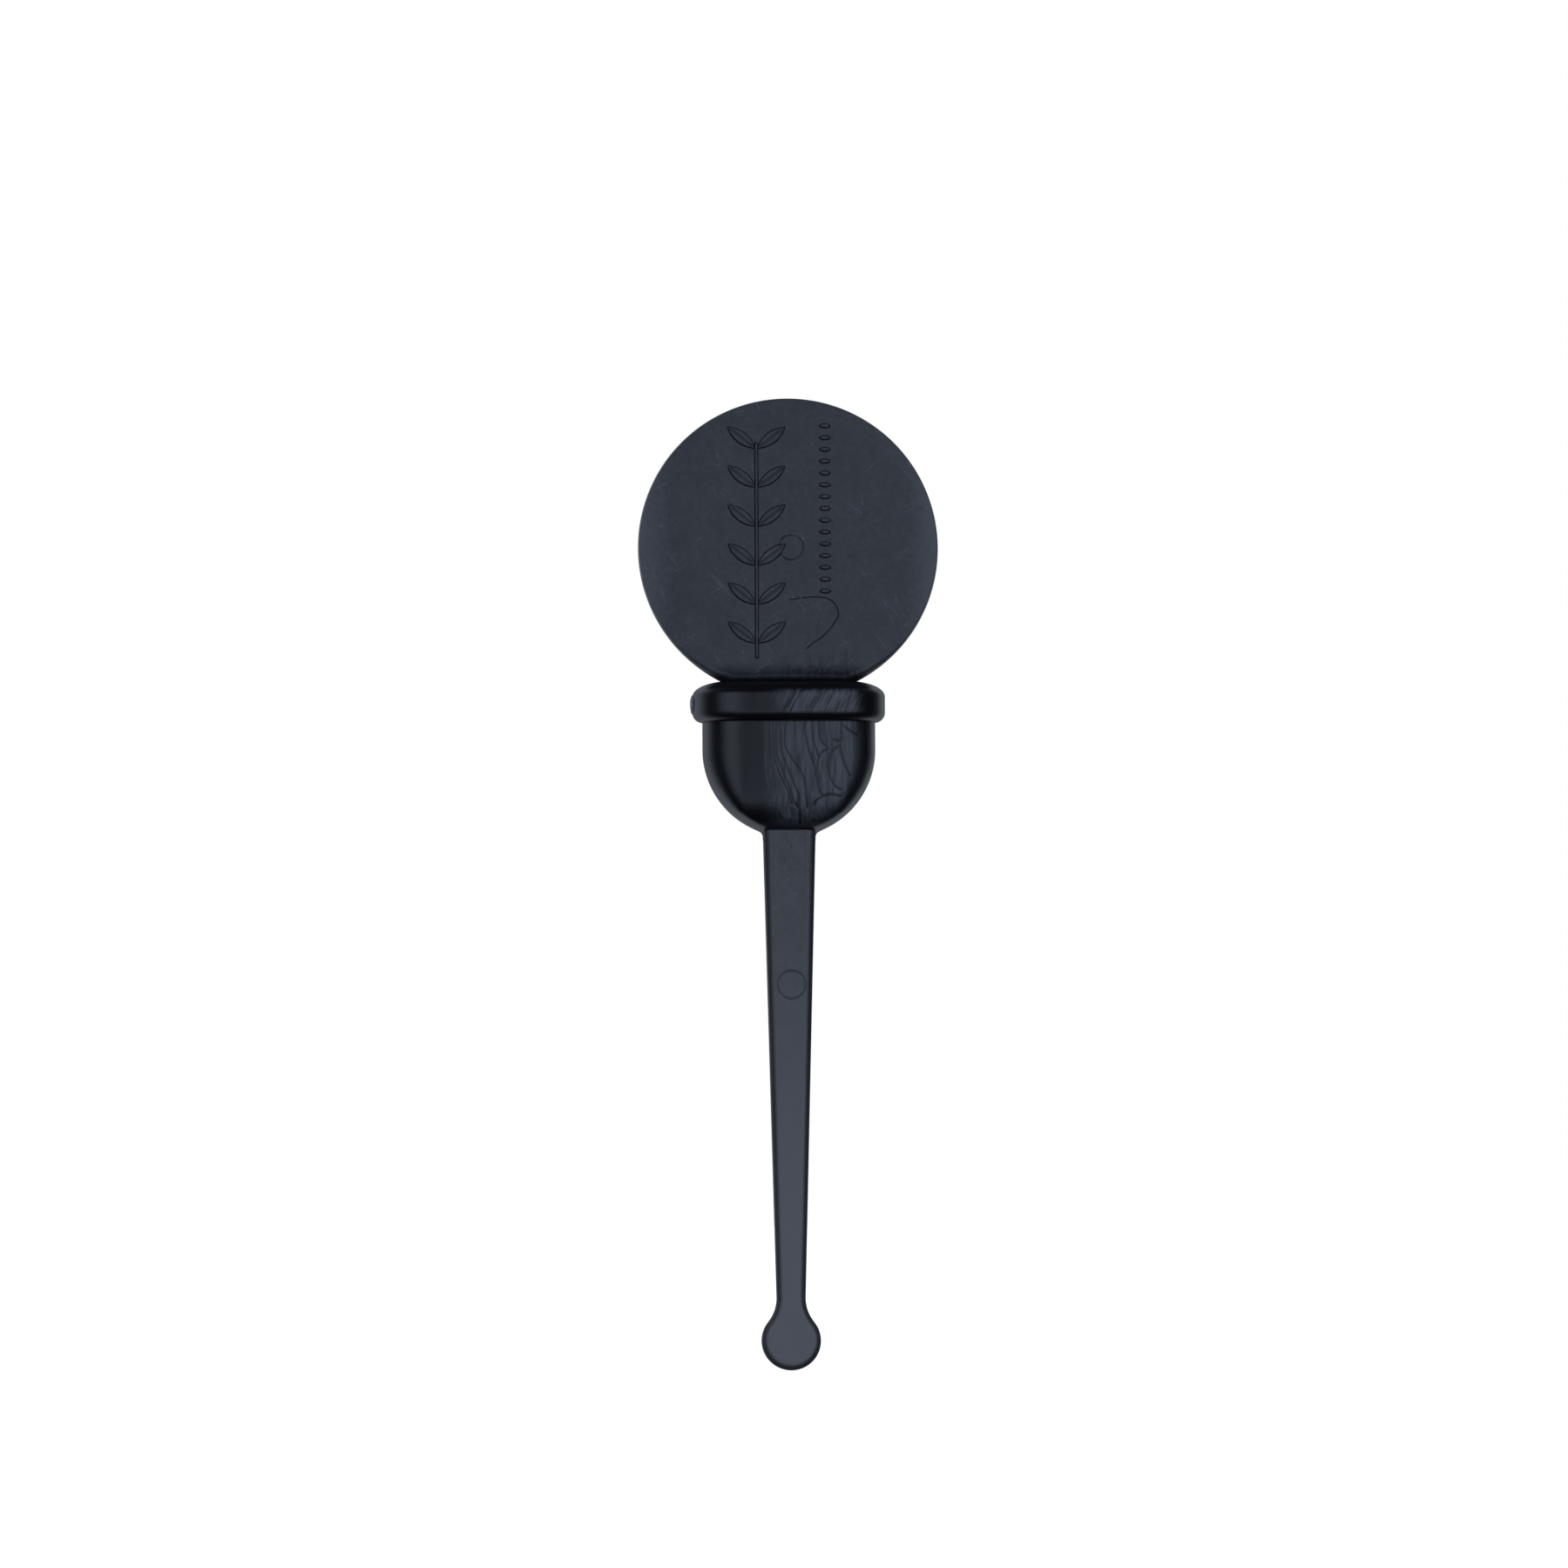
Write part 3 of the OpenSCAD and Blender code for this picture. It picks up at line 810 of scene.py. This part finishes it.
heights = list(np.linspace(STOPPER_RISE, STRAIGHT, 38, endpoint=False))
heights += [STRAIGHT - STOPPER_HALF * math.sin(a) for a in np.radians(np.linspace(0, 74, 120))]
heights += list(np.linspace(heights[-1], STOPPER_END, 13)[1:])
rows = []
for z in heights:
    wide, deep = stopper_widths(z)
    end = max(STOPPER_R * (wide / STOPPER_HALF) ** 3, 0.9 * MM)
    ring_x, ring_y = soft_ring(wide, deep, end, (70, 160), (36, 60))
    rows.append(np.stack([ring_x, ring_y, np.full(ring_x.size, z), ring_y / deep], axis=1))
net = np.array(rows)
px, py, pz, facing = (net[..., k] for k in range(4))
# The folds' depth also carries painted shade, colouring the fold lines near black.
folded = np.where(facing < -0.2, fold_depth(px, pz), 0)
py = py - facing * FOLD_DEPTH * folded
stopper_points = list(zip(px.ravel(), py.ravel(), pz.ravel()))
stopper_faces = capped(len(heights), px.shape[1])
stopper_plastic = gloss_plastic("stopper_plastic", 0.0, -1.3, 0.8, (-9.5, 1.0))
stopper = piece_from("stopper_plug_moulding", stopper_points, stopper_faces, stopper_plastic, folded)
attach(stopper, "root")
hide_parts("stopper_plug")

# ---------------------------------------------------------------------------------------------
# The stick. A flat tapering bar with rounded edges that widens through two hollow flanks into
# the small round tip. It is matte like the disc, with an ejector pin's ring high on its face.

tip_low, tip_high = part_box("stir_tip")
_, flare_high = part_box("tip_flare")
TIP_R = tip_high.x
TIP_Z = tip_low.z + TIP_R
TIP_HALF = tip_high.y
TIP_DISH = 0.05 * MM
STEM_TOP = stem_high.z
STEM_FOOT = flare_high.z
FOOT_HALF = 1.22 * MM
FLANK_R = 3.2 * MM
FLANK_X = FOOT_HALF + FLANK_R
STICK_EDGE = 0.75 * MM
EDGE_DROP = 0.42 * MM
RING_X = 0.1 * MM
RING_Z = -22.15 * MM
RING_R = 1.18 * MM
RING_DEPTH = 0.05 * MM
STICK_TONES = ((0.085, 0.086, 0.094, 1), (0.108, 0.110, 0.119, 1))
# Painted light: the paler colour towards the stick's foot.
FOOT_PAINTED_LIGHT = (0.202, 0.201, 0.209, 1)


def stick_half(z):
    """Half width of the stick's outline at a height."""
    if z > STEM_FOOT:
        return FOOT_HALF + (STEM_HALF - FOOT_HALF) * (z - STEM_FOOT) / (STEM_TOP - STEM_FOOT)
    meet_z = TIP_Z + TIP_R * (STEM_FOOT - TIP_Z) / (TIP_R + FLANK_R)
    if z > meet_z:
        return FLANK_X - math.sqrt(FLANK_R ** 2 - (STEM_FOOT - z) ** 2)
    return math.sqrt(max(TIP_R ** 2 - (z - TIP_Z) ** 2, 0))


def inset_from_edge(x, z, half, slope):
    """How far a place on the stick's face lies inside its outline."""
    if z > STEM_FOOT:
        return (half - abs(x)) * slope
    up = z - TIP_Z
    if up > 0 and up * FLANK_X > abs(x) * (STEM_FOOT - TIP_Z) * 0.999:
        return max(math.hypot(FLANK_X - abs(x), STEM_FOOT - z) - FLANK_R, 0)
    return max(TIP_R - math.hypot(x, up), 0)


ring_top = RING_Z + 1.5 * MM
ring_foot = RING_Z - 1.5 * MM
stick_rows = list(np.linspace(STEM_TOP, ring_top, 26, endpoint=False))
stick_rows += list(np.linspace(ring_top, ring_foot, 54, endpoint=False))
stick_rows += list(np.linspace(ring_foot, STEM_FOOT, 46, endpoint=False))
stick_rows += list(np.linspace(STEM_FOOT, TIP_Z, 44, endpoint=False))
stick_rows += [TIP_Z - TIP_R * math.sin(a) for a in np.radians(np.linspace(0, 90, 48))]
COLUMNS = 97
columns = np.sin(np.linspace(-1, 1, COLUMNS) * math.pi / 2)
taper = math.cos(math.atan((STEM_HALF - FOOT_HALF) / (STEM_TOP - STEM_FOOT)))
stick_points = []
stick_groove = []
for side in (-1, 1):
    for z in stick_rows:
        half = stick_half(z)
        climb = max((z - STEM_FOOT) / (STEM_TOP - STEM_FOOT), 0)
        thick = TIP_HALF + (STEM_DEPTH - TIP_HALF) * climb
        for x in columns * half:
            curve = max(1 - inset_from_edge(x, z, half, taper) / STICK_EDGE, 0)
            y = thick - EDGE_DROP * (1 - math.sqrt(1 - curve ** 2))
            ring = 0
            if side < 0:
                ring = bump_line(math.hypot(x - RING_X, z - RING_Z) - RING_R, 0.08 * MM)
                from_tip = math.hypot(x, z - TIP_Z) / TIP_R
                y -= RING_DEPTH * ring + TIP_DISH * max(1 - from_tip ** 2, 0)
            # Painted shade: a dark band along the stick's rounded edges, and in the pin ring's groove.
            edge_shade = min(max((curve - 0.22) / 0.38, 0), 1)
            stick_points.append((x, side * y, z))
            stick_groove.append(min(0.6 * ring + 0.68 * edge_shade, 1))
row_count = len(stick_rows)
back = row_count * COLUMNS
stick_faces = net_faces(row_count, COLUMNS) + net_faces(row_count, COLUMNS, back)
for i in range(row_count - 1):
    for near in (i * COLUMNS, (i + 1) * COLUMNS - 1):
        below = near + COLUMNS
        stick_faces.append([near, below, below + back, near + back])
for j in range(COLUMNS - 1):
    stick_faces.append([j, j + 1, j + 1 + back, j + back])
stick_plastic = matte_plastic("stick_plastic", STICK_TONES, (-1.2, 1.4), (-12.5, -9.0), 0.3, FOOT_PAINTED_LIGHT)
stick = piece_from("stir_stick", stick_points, stick_faces, stick_plastic, stick_groove)
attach(stick, "root")
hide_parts("stem", "tip_flare", "stir_tip")
